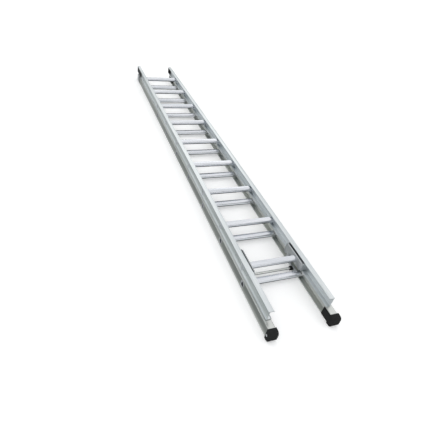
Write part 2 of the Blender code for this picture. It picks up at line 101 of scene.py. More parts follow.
def add_surround(light_side, tones, strength):
    """The room round the studio: tones from -1, straight away from its light side, to 1,
    straight at it."""
    world = bpy.data.worlds.new("pale_room")
    bpy.context.scene.world = world
    world.use_nodes = True
    tree = world.node_tree
    way = add_node(tree, "ShaderNodeTexCoord").outputs["Generated"]
    facing = add_node(
        tree,
        "ShaderNodeVectorMath",
        settings=[("operation", "DOT_PRODUCT")],
        values=[(1, Vector(light_side).normalized())],
        links=[(0, way)],
    )
    share = add_node(
        tree,
        "ShaderNodeMapRange",
        values=[("From Min", -1.0), ("From Max", 1.0)],
        links=[("Value", facing.outputs["Value"])],
    )
    room = add_node(tree, "ShaderNodeValToRGB", links=[("Fac", share.outputs[0])])
    ramp_stops(room, [((1 + place) / 2, tone) for place, tone in tones])
    background = tree.nodes["Background"]
    tree.links.new(room.outputs[0], background.inputs["Color"])
    background.inputs["Strength"].default_value = strength


# ---------------------------------------------------------------- colour and node helpers
def linear(code):
    """An sRGB hex colour such as "C8CCCE", as linear RGBA."""
    channels = [int(code[i : i + 2], 16) / 255 for i in (0, 2, 4)]
    return [
        c / 12.92 if c <= 0.04045 else ((c + 0.055) / 1.055) ** 2.4 for c in channels
    ] + [1.0]


def add_node(tree, kind, settings=(), values=(), links=()):
    """Adds a node: (name, value) settings, (socket, value) inputs, (socket, source) links."""
    made = tree.nodes.new(kind)
    for name, value in settings:
        setattr(made, name, value)
    for socket, value in values:
        made.inputs[socket].default_value = value
    for socket, source in links:
        tree.links.new(source, made.inputs[socket])
    return made


def new_material(name):
    """A new material, its tree, its shader and the Object coordinates patterns read."""
    made = bpy.data.materials.new(name)
    made.use_nodes = True
    tree = made.node_tree
    shader = tree.nodes["Principled BSDF"]
    place = add_node(tree, "ShaderNodeTexCoord").outputs["Object"]
    return made, tree, shader, place


def ramp_stops(ramp_node, stops):
    """Sets a colour ramp from (position, hex colour) pairs."""
    ramp = ramp_node.color_ramp
    while len(ramp.elements) < len(stops):
        ramp.elements.new(0.5)
    for element, (position, code) in zip(ramp.elements, stops):
        element.position = position
        element.color = linear(code)


# ---------------------------------------------------------------- materials
def extruded_aluminium(name, along, dark, light, roughness, bump, outside=1.0):
    """6063 aluminium as it leaves the die: fine lines along the bar, a soft satin gleam
    and cloudy patches of thin oxide. The die lines are about 0.5 mm apart on the real
    bar and are drawn about 2 mm apart, so that they still show at this size. Faces that
    look away from the middle of the ladder are darkened to the outside share of their
    brightness: painted shade, standing in for the darker room they would mirror."""
    made, tree, shader, place = new_material(name)
    line_scale = 1 / (2.0 * MM)
    stretch = [line_scale, line_scale, line_scale]
    stretch["XYZ".index(along)] = 1 / (450 * MM)
    lines_at = add_node(
        tree, "ShaderNodeMapping", values=[("Scale", stretch)], links=[("Vector", place)]
    )
    lines = add_node(
        tree,
        "ShaderNodeTexNoise",
        values=[("Scale", 1.0), ("Detail", 3.0), ("Roughness", 0.6)],
        links=[("Vector", lines_at.outputs[0])],
    )
    band_scale = [1 / (22 * MM)] * 3
    band_scale["XYZ".index(along)] = 1 / (260 * MM)
    bands_at = add_node(
        tree, "ShaderNodeMapping", values=[("Scale", band_scale)], links=[("Vector", place)]
    )
    clouds = add_node(
        tree,
        "ShaderNodeTexNoise",
        values=[("Scale", 1.0), ("Detail", 5.0), ("Roughness", 0.55)],
        links=[("Vector", bands_at.outputs[0])],
    )
    tone = add_node(tree, "ShaderNodeValToRGB", links=[("Fac", clouds.outputs[0])])
    ramp_stops(tone, ((0.30, dark), (0.70, light)))
    streak = add_node(
        tree,
        "ShaderNodeMapRange",
        values=[("From Min", 0.25), ("From Max", 0.75), ("To Min", 0.90), ("To Max", 1.06)],
        links=[("Value", lines.outputs[0])],
    )
    shade = add_node(
        tree,
        "ShaderNodeMix",
        settings=[("data_type", "RGBA"), ("blend_type", "MULTIPLY")],
        values=[(0, 1.0)],
        links=[(6, tone.outputs[0]), (7, streak.outputs[0])],
    )
    normal = tree.nodes.new("ShaderNodeTexCoord").outputs["Normal"]
    facing_x = add_node(tree, "ShaderNodeSeparateXYZ", links=[(0, normal)]).outputs["X"]
    place_x = add_node(tree, "ShaderNodeSeparateXYZ", links=[(0, place)]).outputs["X"]
    side_of = add_node(
        tree, "ShaderNodeMath", settings=[("operation", "SIGN")], links=[(0, place_x)]
    )
    outwards = add_node(
        tree,
        "ShaderNodeMath",
        settings=[("operation", "MULTIPLY")],
        links=[(0, facing_x), (1, side_of.outputs[0])],
    )
    # Painted shade: faces turned away from the middle of the ladder are darkened to the outside
    # share of their brightness, for the darker room they would mirror.
    outward_shade = add_node(
        tree,
        "ShaderNodeMapRange",
        values=[("From Min", 0.4), ("From Max", 0.8), ("To Min", 1.0), ("To Max", outside)],
        links=[("Value", outwards.outputs[0])],
    )
    tone_with_shade = add_node(
        tree,
        "ShaderNodeMix",
        settings=[("data_type", "RGBA"), ("blend_type", "MULTIPLY")],
        values=[(0, 1.0)],
        links=[(6, shade.outputs[2]), (7, outward_shade.outputs[0])],
    )
    tree.links.new(tone_with_shade.outputs[2], shader.inputs["Base Color"])
    gleam = add_node(
        tree,
        "ShaderNodeMapRange",
        values=[
            ("From Min", 0.3),
            ("From Max", 0.7),
            ("To Min", roughness - 0.06),
            ("To Max", roughness + 0.08),
        ],
        links=[("Value", clouds.outputs[0])],
    )
    tree.links.new(gleam.outputs[0], shader.inputs["Roughness"])
    relief = add_node(
        tree,
        "ShaderNodeBump",
        values=[("Strength", bump), ("Distance", 0.2 * MM)],
        links=[("Height", lines.outputs[0])],
    )
    tree.links.new(relief.outputs[0], shader.inputs["Normal"])
    shader.inputs["Metallic"].default_value = 1.0
    return made


def cast_aluminium(name, dark, light):
    """LM6 aluminium from a sand mould, tumbled: a dull, grainy skin about 0.6 mm a grain,
    darker in the low spots."""
    made, tree, shader, place = new_material(name)
    grain = add_node(
        tree,
        "ShaderNodeTexNoise",
        values=[("Scale", 1 / (1.2 * MM)), ("Detail", 4.0), ("Roughness", 0.65)],
        links=[("Vector", place)],
    )
    patches = add_node(
        tree,
        "ShaderNodeTexNoise",
        values=[("Scale", 1 / (14 * MM)), ("Detail", 3.0)],
        links=[("Vector", place)],
    )
    tone = add_node(tree, "ShaderNodeValToRGB", links=[("Fac", grain.outputs[0])])
    ramp_stops(tone, ((0.35, dark), (0.62, light)))
    tree.links.new(tone.outputs[0], shader.inputs["Base Color"])
    gleam = add_node(
        tree,
        "ShaderNodeMapRange",
        values=[("To Min", 0.42), ("To Max", 0.64)],
        links=[("Value", patches.outputs[0])],
    )
    tree.links.new(gleam.outputs[0], shader.inputs["Roughness"])
    relief = add_node(
        tree,
        "ShaderNodeBump",
        values=[("Strength", 0.55), ("Distance", 0.25 * MM)],
        links=[("Height", grain.outputs[0])],
    )
    tree.links.new(relief.outputs[0], shader.inputs["Normal"])
    shader.inputs["Metallic"].default_value = 1.0
    return made


def plated_steel(name):
    """Zinc-plated steel: bright and smooth, with faint spangles a few millimetres wide."""
    made, tree, shader, place = new_material(name)
    spangle = add_node(
        tree,
        "ShaderNodeTexVoronoi",
        values=[("Scale", 1 / (2.5 * MM))],
        links=[("Vector", place)],
    )
    tone = add_node(tree, "ShaderNodeValToRGB", links=[("Fac", spangle.outputs["Distance"])])
    ramp_stops(tone, ((0.0, "B4B8BC"), (1.0, "C9CCCE")))
    tree.links.new(tone.outputs[0], shader.inputs["Base Color"])
    gleam = add_node(
        tree,
        "ShaderNodeMapRange",
        values=[("To Min", 0.24), ("To Max", 0.36)],
        links=[("Value", spangle.outputs["Distance"])],
    )
    tree.links.new(gleam.outputs[0], shader.inputs["Roughness"])
    shader.inputs["Metallic"].default_value = 1.0
    return made


def moulded_rubber(name):
    """Carbon-black natural rubber from a blasted mould: matt, finely pitted, and greyer
    where dust has worked into it."""
    made, tree, shader, place = new_material(name)
    pits = add_node(
        tree,
        "ShaderNodeTexNoise",
        values=[("Scale", 1 / (0.9 * MM)), ("Detail", 3.0)],
        links=[("Vector", place)],
    )
    dust = add_node(
        tree,
        "ShaderNodeTexNoise",
        values=[("Scale", 1 / (18 * MM)), ("Detail", 6.0), ("Roughness", 0.7)],
        links=[("Vector", place)],
    )
    tone = add_node(tree, "ShaderNodeValToRGB", links=[("Fac", dust.outputs[0])])
    ramp_stops(tone, ((0.42, "08090A"), (0.78, "1C1D20")))
    tree.links.new(tone.outputs[0], shader.inputs["Base Color"])
    gleam = add_node(
        tree,
        "ShaderNodeMapRange",
        values=[("To Min", 0.55), ("To Max", 0.82)],
        links=[("Value", dust.outputs[0])],
    )
    tree.links.new(gleam.outputs[0], shader.inputs["Roughness"])
    relief = add_node(
        tree,
        "ShaderNodeBump",
        values=[("Strength", 0.4), ("Distance", 0.15 * MM)],
        links=[("Height", pits.outputs[0])],
    )
    tree.links.new(relief.outputs[0], shader.inputs["Normal"])
    shader.inputs["Specular IOR Level"].default_value = 0.3
    return made


def moulded_nylon(name):
    """Black nylon from a spark-eroded mould: a fine even leather and a low sheen."""
    made, tree, shader, place = new_material(name)
    leather = add_node(
        tree,
        "ShaderNodeTexVoronoi",
        values=[("Scale", 1 / (1.4 * MM))],
        links=[("Vector", place)],
    )
    tone = add_node(tree, "ShaderNodeValToRGB", links=[("Fac", leather.outputs["Distance"])])
    ramp_stops(tone, ((0.1, "0C0D0F"), (0.9, "161719")))
    tree.links.new(tone.outputs[0], shader.inputs["Base Color"])
    relief = add_node(
        tree,
        "ShaderNodeBump",
        values=[("Strength", 0.3), ("Distance", 0.1 * MM)],
        links=[("Height", leather.outputs["Distance"])],
    )
    tree.links.new(relief.outputs[0], shader.inputs["Normal"])
    shader.inputs["Roughness"].default_value = 0.50
    shader.inputs["Specular IOR Level"].default_value = 0.25
    return made


def studio_paint(name):
    """Matt white emulsion on the studio floor, with a hardly visible roller mottle. A weak
    glow of its own stands for the light table under it and keeps the shadows pale."""
    made, tree, shader, place = new_material(name)
    mottle = add_node(
        tree,
        "ShaderNodeTexNoise",
        values=[("Scale", 3.0), ("Detail", 4.0)],
        links=[("Vector", place)],
    )
    tone = add_node(tree, "ShaderNodeValToRGB", links=[("Fac", mottle.outputs[0])])
    ramp_stops(tone, ((0.3, "F3F4F5"), (0.7, "F7F8F8")))
    tree.links.new(tone.outputs[0], shader.inputs["Base Color"])
    shader.inputs["Roughness"].default_value = 0.9
    shader.inputs["Specular IOR Level"].default_value = 0.1
    shader.inputs["Emission Color"].default_value = linear("FFFFFF")
    shader.inputs["Emission Strength"].default_value = 0.25
    return made


FLY_STILE_LOOK = extruded_aluminium(
    "extruded_fly_stile_aluminium", "Y", "CED4D6", "E6EAEC", 0.32, 0.35
)
LOOKS = {
    # The base stiles' outward faces keep 0.62 of their brightness: painted shade.
    "rail_aluminium": extruded_aluminium(
        "extruded_base_stile_aluminium", "Y", "C9CCC9", "E2E4E1", 0.34, 0.40, outside=0.62
    ),
    "rung_aluminium": extruded_aluminium(
        "extruded_rung_aluminium", "X", "D2D6DC", "E9EBF0", 0.22, 0.25
    ),
    "cast_aluminium": cast_aluminium("sand_cast_aluminium", "A9ADB0", "CDD0D2"),
    "fastener_steel": plated_steel("zinc_plated_steel"),
    "black_rubber": moulded_rubber("moulded_black_rubber"),
    "black_plastic": moulded_nylon("moulded_black_nylon"),
}


# ---------------------------------------------------------------- mesh helpers
CREASE = 34  # degrees between faces, past which shading stays sharp
EDGE = 30  # degrees between faces, past which a casting's edge is rounded over
ARC_STEPS = 4  # straight pieces in the arc at an outline's corner


def middle(node):
    """The middle of a CAD part's box."""
    low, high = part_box(node)
    return (low + high) / 2


def plain_mesh(name, bm):
    """Welds the doubles of a bmesh, turns its faces outwards and makes it a mesh."""
    bmesh.ops.remove_doubles(bm, verts=bm.verts, dist=0.002 * MM)
    bmesh.ops.recalc_face_normals(bm, faces=bm.faces)
    if bm.calc_volume(signed=True) < 0:
        bmesh.ops.reverse_faces(bm, faces=bm.faces)
    made = bpy.data.meshes.new(name)
    bm.to_mesh(made)
    bm.free()
    return made


def new_object(name, mesh):
    made = bpy.data.objects.new(name, mesh)
    bpy.context.scene.collection.objects.link(made)
    return made


def baked(source):
    """Applies an object's modifiers and leaves it a plain mesh."""
    graph = bpy.context.evaluated_depsgraph_get()
    mesh = bpy.data.meshes.new_from_object(source.evaluated_get(graph))
    mesh.name = source.name
    source.modifiers.clear()
    source.data = mesh


def smooth(mesh, angle):
    """Smooth shading, with a crease wherever faces turn by more than the angle."""
    mesh.shade_smooth()
    mesh.set_sharp_from_angle(angle=math.radians(angle))


def finish_piece(piece, look, body, nodes=()):
    """Gives a piece its material, hangs it on its body and lets it stand for CAD parts."""
    piece.data.materials.clear()
    piece.data.materials.append(LOOKS[look])
    smooth(piece.data, CREASE)
    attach(piece, body)
    if nodes:
        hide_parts(*nodes)
    return piece


def eased(name, node, width, steps):
    """A CAD part with its loose triangles merged and its edges rounded over."""
    flat = math.radians(0.5)
    bm = bmesh.new()
    bm.from_mesh(frame["nodes"][node].data)
    bmesh.ops.remove_doubles(bm, verts=bm.verts, dist=0.01 * MM)
    bmesh.ops.dissolve_limit(bm, angle_limit=flat, verts=bm.verts, edges=bm.edges)
    mesh = bpy.data.meshes.new(name)
    bm.to_mesh(mesh)
    bm.free()
    if "custom_normal" in mesh.attributes:
        mesh.attributes.remove(mesh.attributes["custom_normal"])
    piece = new_object(name, mesh)
    rounding = piece.modifiers.new("rounding", "BEVEL")
    rounding.width = width
    rounding.segments = steps
    rounding.limit_method = "ANGLE"
    rounding.angle_limit = math.radians(EDGE)
    baked(piece)
    finish_piece(piece, SLOT_OF[node], BODY_OF[node], [node])


def rounded(corners):
    """A closed outline whose (u, v, radius) corners are rounded with arcs."""
    outline = []
    count = len(corners)
    for i, (u, v, radius) in enumerate(corners):
        here = Vector((u, v))
        back = Vector(corners[i - 1][:2]) - here
        ahead = Vector(corners[(i + 1) % count][:2]) - here
        if radius <= 0:
            outline.append((u, v))
            continue
        half = back.angle(ahead) / 2
        reach = min(radius / math.tan(half), 0.48 * back.length, 0.48 * ahead.length)
        arm = (back.normalized() + ahead.normalized()).normalized()
        centre = here + arm * (reach / math.cos(half))
        start = here + back.normalized() * reach - centre
        end = here + ahead.normalized() * reach - centre
        first = math.atan2(start.y, start.x)
        turn = (math.atan2(end.y, end.x) - first + math.pi) % (2 * math.pi) - math.pi
        for k in range(ARC_STEPS + 1):
            angle = first + turn * k / ARC_STEPS
            outline.append(
                (
                    centre.x + start.length * math.cos(angle),
                    centre.y + start.length * math.sin(angle),
                )
            )
    return outline


def skin(bm, rings, ends):
    """Faces from ring to ring of points. The ends are capped, joined to each other as a
    bore joins the mouths of a tube, or left open."""
    loops = [[bm.verts.new(point) for point in ring] for ring in rings]
    pairs = list(zip(loops, loops[1:]))
    if ends == "joined":
        pairs.append((loops[-1], loops[0]))
    for first, second in pairs:
        for i in range(len(first)):
            j = (i + 1) % len(first)
            bm.faces.new((first[i], first[j], second[j], second[i]))
    if ends == "capped":
        bm.faces.new(loops[0])
        bm.faces.new(list(reversed(loops[-1])))


def bar_along_x(bm, outline, reach):
    """A closed bar between the two x of its reach, with an outline of (y, z) points."""
    skin(bm, [[(x, y, z) for y, z in outline] for x in reach], "capped")


def round_outline(y, z, radius, count):
    """A circle of (y, z) points."""
    return [
        (
            y + radius * math.cos(2 * math.pi * k / count),
            z + radius * math.sin(2 * math.pi * k / count),
        )
        for k in range(count)
    ]


def cut_away(piece, cutter):
    """Takes one closed mesh out of another and leaves a plain mesh."""
    step = piece.modifiers.new("cut", "BOOLEAN")
    step.operation = "DIFFERENCE"
    step.solver = "EXACT"
    step.object = cutter
    baked(piece)
    bpy.data.objects.remove(cutter, do_unlink=True)


# ---------------------------------------------------------------- stiles
RIM = 2.5 * MM  # how far a rung's rolled rim stands out of the web
WEB = 2.5 * MM
FLANGE = 3.0 * MM
BULB = 3.0 * MM
RUNG_NECK = 1.5 * MM  # a rung is this much smaller where it passes through the web
RUNG_TOP = 13.3 * MM  # from the middle of a rung to its flat tread
RUNG_BOTTOM = 14.0 * MM  # from the middle of a rung to the back of its D
RUNG_HALF = 15.5 * MM  # half of a rung's width
RUNG_CORNER = 3.0 * MM  # radius of the two corners beside the tread


def rung_outline(grow):
    """The D of a rung in (Y, Z) about its middle, with its flat tread towards +Y."""
    half = RUNG_HALF + grow
    inset = RUNG_TOP + grow - RUNG_CORNER
    corner_steps = 6
    back_steps = 28
    outline = []
    for sign, order in ((1, range(corner_steps, -1, -1)), (-1, range(corner_steps + 1))):
        for k in order:
            angle = math.radians(90 * k / corner_steps)
            out = half - RUNG_CORNER + RUNG_CORNER * math.sin(angle)
            outline.append((inset + RUNG_CORNER * math.cos(angle), sign * out))
    for k in range(back_steps + 1):
        angle = math.pi * k / back_steps
        back = -(RUNG_BOTTOM + grow) * math.sin(angle)
        outline.append((back, -half * math.cos(angle)))
    return outline


def stile_outline(inner, outer, web, back, front):
    """A channel open towards the rungs: a thick bead on each flange's inner edge, a short
    lip outside the web and two fine ridges along the web."""
    inside = web - WEB
    floor = back + FLANGE
    roof = front - FLANGE
    edge = inner + BULB
    bead = BULB - 0.5 * MM
    ridge_out = web + 0.6 * MM
    ridge_inset = 5.0 * MM
    foot, crest = 1.2 * MM, 0.6 * MM  # half widths of a ridge
    fine, tight, crisp, soft = 0.3 * MM, 0.6 * MM, 0.9 * MM, 1.2 * MM  # corner radii
    step, bead_corner, fillet = 0.8 * MM, 1.0 * MM, 1.6 * MM
    ridges = []
    for centre in (floor + ridge_inset, roof - ridge_inset):
        ridges += [
            (web, centre - foot, fine),
            (ridge_out, centre - crest, fine),
            (ridge_out, centre + crest, fine),
            (web, centre + foot, fine),
        ]
    return rounded(
        [
            (inner, back, soft),
            (outer, back, crisp),
            (outer, floor, crisp),
            (web, floor, step),
        ]
        + ridges
        + [
            (web, roof, step),
            (outer, roof, crisp),
            (outer, front, crisp),
            (inner, front, soft),
            (inner, roof - bead, bead_corner),
            (edge, roof - bead, bead_corner),
            (edge, roof, tight),
            (inside, roof, fillet),
            (inside, floor, fillet),
            (edge, floor, tight),
            (edge, floor + bead, bead_corner),
            (inner, floor + bead, bead_corner),
        ]
    )


def rung_names(section):
    """The rungs of a section, from the feet up."""
    return sorted(
        (name for name in frame["nodes"] if name.startswith(section + "_rung_")),
        key=lambda name: int(name.rsplit("_", 1)[1]),
    )


def make_stile(section, side_name, side):
    """A channel the length of its section, cut through for its rungs, rivets and bolt."""
    node = f"{section}_rail_{side_name}"
    low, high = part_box(node)
    across = sorted((abs(low.x), abs(high.x)))
    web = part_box(section + "_rung_1")[1].x - RIM
    outline = stile_outline(across[0], across[1], web, low.z, high.z)
    bm = bmesh.new()
    skin(bm, [[(side * x, y, z) for x, z in outline] for y in (low.y, high.y)], "capped")
    piece = new_object(node + "_stile", plain_mesh(node, bm))
    bm = bmesh.new()
    clearance = 0.3 * MM
    hole = rung_outline(clearance - RUNG_NECK)
    past = 4 * MM  # how far a cutter stands out of the web on each side
    reach = sorted((side * (web - WEB - past), side * (web + past)))
    for rung in rung_names(section):
        centre = middle(rung)
        bar_along_x(bm, [(centre.y + u, centre.z + v) for u, v in hole], reach)
    bore_radius = 2.9 * MM
    for fastener in frame["nodes"]:
        if fastener.startswith(FASTENERS_OF[section]) and side_name in fastener:
            centre = middle(fastener)
            bar_along_x(bm, round_outline(centre.y, centre.z, bore_radius, 24), reach)
    cut_away(piece, new_object("cutter", plain_mesh("cutter", bm)))
    finish_piece(piece, "rail_aluminium", BODY_OF[node], [node])
    if section == "fly":
        piece.data.materials[0] = FLY_STILE_LOOK


for section in FASTENERS_OF:
    for side_name, side in SIDES:
        make_stile(section, side_name, side)


# ---------------------------------------------------------------- rungs
RUNG_WALL = 1.8 * MM


def rung_stations(web, end):
    """(x, growth) from the middle of a rung out to its mouth: the straight tube, a pressed
    bead against the web, the neck through it and the rim rolled over outside."""
    inside = web - WEB
    gap = 0.3 * MM  # between the web and the bead or rim
    bead_from, bead_width, bead_height = inside - 8.0 * MM, 7.7 * MM, 1.3 * MM
    rim_base, rim_height = -0.7 * MM, 1.3 * MM
    steps = 8
    found = [(0.0, 0.0), (inside - 9.0 * MM, 0.0)]
    for k in range(1, steps + 1):
        share = k / steps
        growth = bead_height * math.sin(math.pi * share)
        found.append((bead_from + bead_width * share, growth))
    found.append((inside - gap, -RUNG_NECK))
    found.append((web + gap, -RUNG_NECK))
    roll = (end - web - gap) / 2
    centre = web + gap + roll
    for k in range(steps + 1):
        angle = math.radians(-90 + 180 * k / steps)
        growth = rim_base + rim_height * math.cos(angle)
        found.append((centre + roll * math.sin(angle), growth))
    return found


def make_rung(node, plugged):
    """A rung tube. An open one keeps its bore, a plugged one has a shallow dish at each end."""
    centre = middle(node)
    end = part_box(node)[1].x
    half = rung_stations(end - RIM, end)
    stations = [(-x, grow) for x, grow in reversed(half[1:])] + half
    dish = (end - 0.2 * MM, -1.6 * MM)
    if plugged:
        stations = [(-dish[0], dish[1])] + stations + [dish]
    else:
        throat = (end - 1.4 * MM, -RUNG_WALL - 0.6 * MM)
        mouth = [dish, throat, (end - 7.0 * MM, -RUNG_WALL)]
        stations += mouth + [(-x, grow) for x, grow in reversed(mouth)]
    rings = [
        [(x, centre.y + u, centre.z + v) for u, v in rung_outline(grow)]
        for x, grow in stations
    ]
    bm = bmesh.new()
    skin(bm, rings, "capped" if plugged else "joined")
    piece = new_object(node + "_tube", plain_mesh(node, bm))
    finish_piece(piece, "rung_aluminium", BODY_OF[node], [node])


for section in FASTENERS_OF:
    for rung in rung_names(section):
        make_rung(rung, plugged=section == "fly")


# ---------------------------------------------------------------- geometry node trees
FLOAT = "NodeSocketFloat"
WHOLE = "NodeSocketInt"
POINT = "NodeSocketVector"
LOOK = "NodeSocketMaterial"


def new_tree(name, inputs):
    """A Geometry Nodes tree and its inputs, from (name, socket kind, default) rows. Every
    tree also takes the material that it ends with."""
    tree = bpy.data.node_groups.new(name, "GeometryNodeTree")
    tree.interface.new_socket("Geometry", in_out="OUTPUT", socket_type="NodeSocketGeometry")
    for label, kind, default in inputs + [("Material", LOOK, None)]:
        socket = tree.interface.new_socket(label, in_out="INPUT", socket_type=kind)
        if default is not None:
            socket.default_value = default
    given = tree.nodes.new("NodeGroupInput").outputs
    return tree, given


def end_tree(tree, geometry, material):
    """Realises the instances and gives them their material."""
    real = add_node(tree, "GeometryNodeRealizeInstances", links=[("Geometry", geometry)])
    painted = add_node(
        tree,
        "GeometryNodeSetMaterial",
        links=[("Geometry", real.outputs[0]), ("Material", material)],
    )
    out = tree.nodes.new("NodeGroupOutput")
    tree.links.new(painted.outputs[0], out.inputs["Geometry"])


def grow_from(name, tree, values, look, body):
    """Runs a tree with these inputs and keeps the result as a plain piece."""
    piece = new_object(name, bpy.data.meshes.new(name))
    step = piece.modifiers.new(tree.name, "NODES")
    step.node_group = tree
    for item in tree.interface.items_tree:
        if item.in_out == "INPUT" and item.name in values:
            step[item.identifier] = values[item.name]
        if item.in_out == "INPUT" and item.name == "Material":
            step[item.identifier] = LOOKS[look]
    baked(piece)
    return finish_piece(piece, look, body)


def tread_tree():
    """Serrated ribs on the treads: a grid of bevelled teeth, repeated on every rung."""
    tree, given = new_tree(
        "anti_slip_tread",
        [
            ("Start", POINT, None),
            ("Rungs", WHOLE, 9),
            ("Pitch", FLOAT, 0.3),
            ("Ribs", WHOLE, 5),
            ("Tread Width", FLOAT, 0.018),
            ("Teeth", WHOLE, 40),
            ("Tread Length", FLOAT, 0.3),
            ("Tooth Size", POINT, None),
        ],
    )
    grid = add_node(
        tree,
        "GeometryNodeMeshGrid",
        links=[
            ("Size X", given["Tread Length"]),
            ("Size Y", given["Tread Width"]),
            ("Vertices X", given["Teeth"]),
            ("Vertices Y", given["Ribs"]),
        ],
    )
    block = add_node(
        tree,
        "GeometryNodeMeshCone",
        settings=[("fill_type", "NGON")],
        values=[
            ("Vertices", 4),
            ("Radius Top", 0.42),
            ("Radius Bottom", 0.7071),
            ("Depth", 1.0),
        ],
    )
    squared = add_node(
        tree,
        "GeometryNodeTransform",
        values=[("Rotation", (0.0, 0.0, math.radians(45)))],
        links=[("Geometry", block.outputs["Mesh"])],
    )
    teeth = add_node(
        tree,
        "GeometryNodeInstanceOnPoints",
        links=[
            ("Points", grid.outputs["Mesh"]),
            ("Instance", squared.outputs[0]),
            ("Scale", given["Tooth Size"]),
        ],
    )
    upright = add_node(
        tree,
        "GeometryNodeTransform",
        values=[("Rotation", (math.radians(-90), 0.0, 0.0))],
        links=[("Geometry", teeth.outputs[0])],
    )
    offset = add_node(tree, "ShaderNodeCombineXYZ", links=[("Y", given["Pitch"])])
    line = add_node(
        tree,
        "GeometryNodeMeshLine",
        links=[
            ("Count", given["Rungs"]),
            ("Start Location", given["Start"]),
            ("Offset", offset.outputs[0]),
        ],
    )
    rungs = add_node(
        tree,
        "GeometryNodeInstanceOnPoints",
        links=[("Points", line.outputs[0]), ("Instance", upright.outputs[0])],
    )
    end_tree(tree, rungs.outputs[0], given["Material"])
    return tree


def coil_tree():
    """A torsion spring: a wire swept along a spiral about X."""
    tree, given = new_tree(
        "torsion_coil",
        [
            ("Start", POINT, None),
            ("Turns", FLOAT, 2.0),
            ("Coil Radius", FLOAT, 0.005),
            ("Width", FLOAT, 0.003),
            ("Wire Radius", FLOAT, 0.0006),
        ],
    )
    spiral = add_node(
        tree,
        "GeometryNodeCurveSpiral",
        values=[("Resolution", 28)],
        links=[
            ("Rotations", given["Turns"]),
            ("Start Radius", given["Coil Radius"]),
            ("End Radius", given["Coil Radius"]),
            ("Height", given["Width"]),
        ],
    )
    wire = add_node(
        tree,
        "GeometryNodeCurvePrimitiveCircle",
        values=[("Resolution", 12)],
        links=[("Radius", given["Wire Radius"])],
    )
    swept = add_node(
        tree,
        "GeometryNodeCurveToMesh",
        values=[("Fill Caps", True)],
        links=[("Curve", spiral.outputs[0]), ("Profile Curve", wire.outputs[0])],
    )
    turned = add_node(
        tree,
        "GeometryNodeTransform",
        values=[("Rotation", (0.0, math.radians(90), 0.0))],
        links=[("Geometry", swept.outputs[0]), ("Translation", given["Start"])],
    )
    end_tree(tree, turned.outputs[0], given["Material"])
    return tree


def ribs_tree():
    """A row of half-round grip ribs, evenly spaced along one direction."""
    tree, given = new_tree(
        "grip_ribs",
        [
            ("Start", POINT, None),
            ("Step", POINT, None),
            ("Count", WHOLE, 4),
            ("Rib Radius", FLOAT, 0.001),
            ("Rib Length", FLOAT, 0.02),
            ("Turn", POINT, None),
        ],
    )
    rod = add_node(
        tree,
        "GeometryNodeMeshCylinder",
        settings=[("fill_type", "NGON")],
        values=[("Vertices", 16)],
        links=[("Radius", given["Rib Radius"]), ("Depth", given["Rib Length"])],
    )
    line = add_node(
        tree,
        "GeometryNodeMeshLine",
        links=[
            ("Count", given["Count"]),
            ("Start Location", given["Start"]),
            ("Offset", given["Step"]),
        ],
    )
    rotation = add_node(
        tree, "FunctionNodeEulerToRotation", links=[("Euler", given["Turn"])]
    )
    ribs = add_node(
        tree,
        "GeometryNodeInstanceOnPoints",
        links=[
            ("Points", line.outputs[0]),
            ("Instance", rod.outputs["Mesh"]),
            ("Rotation", rotation.outputs[0]),
        ],
    )
    end_tree(tree, ribs.outputs[0], given["Material"])
    return tree


def flutes_tree():
    """Grip flutes standing round a collar on an X axis."""
    tree, given = new_tree(
        "collar_flutes",
        [
            ("Centre", POINT, None),
            ("Count", WHOLE, 20),
            ("Collar Radius", FLOAT, 0.011),
            ("Flute Radius", FLOAT, 0.001),
            ("Flute Length", FLOAT, 0.010),
        ],
    )
    rod = add_node(
        tree,
        "GeometryNodeMeshCylinder",
        settings=[("fill_type", "NGON")],
        values=[("Vertices", 10)],
        links=[("Radius", given["Flute Radius"]), ("Depth", given["Flute Length"])],
    )
    around = add_node(
        tree,
        "GeometryNodeMeshCircle",
        links=[("Vertices", given["Count"]), ("Radius", given["Collar Radius"])],
    )
    flutes = add_node(
        tree,
        "GeometryNodeInstanceOnPoints",
        links=[("Points", around.outputs[0]), ("Instance", rod.outputs["Mesh"])],
    )
    turned = add_node(
        tree,
        "GeometryNodeTransform",
        values=[("Rotation", (0.0, math.radians(90), 0.0))],
        links=[("Geometry", flutes.outputs[0]), ("Translation", given["Centre"])],
    )
    end_tree(tree, turned.outputs[0], given["Material"])
    return tree


def add_treads():
    """Teeth on the flat of every rung, one piece for each section."""
    tree = tread_tree()
    tooth_length, tooth_width, tooth_height = 4.4 * MM, 1.5 * MM, 0.9 * MM
    tooth_pitch = 5.5 * MM
    sunk = 0.4 * MM  # how deep a tooth is rooted in the tread
    plain_end = 19 * MM  # from the last tooth to the end of the rung
    for section in FASTENERS_OF:
        names = rung_names(section)
        first, second = middle(names[0]), middle(names[1])
        length = 2 * (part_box(names[0])[1].x - plain_end)
        tooth_middle = first.y + RUNG_TOP + tooth_height / 2 - sunk
        values = {
            "Start": (0.0, tooth_middle, first.z),
            "Rungs": len(names),
            "Pitch": second.y - first.y,
            "Ribs": 6,
            "Tread Width": 20 * MM,
            "Teeth": int(length / tooth_pitch),
            "Tread Length": length,
            "Tooth Size": (tooth_length, tooth_width, tooth_height),
        }
        grow_from(f"{section}_tread_teeth", tree, values, "rung_aluminium", section)


add_treads()


# ---------------------------------------------------------------- turned parts
def turned(suffix, node, side, steps, count=32, ends="capped"):
    """A turned part on an X axis through the CAD part's middle, from (x, radius) steps."""
    centre = middle(node)
    rings = []
    for x, radius in steps:
        outline = round_outline(centre.y, centre.z, radius, count)
        rings.append([(side * x, y, z) for y, z in outline])
    bm = bmesh.new()
    skin(bm, rings, ends)
    piece = new_object(node + suffix, plain_mesh(node + suffix, bm))
    finish_piece(piece, SLOT_OF[node], BODY_OF[node], [node])


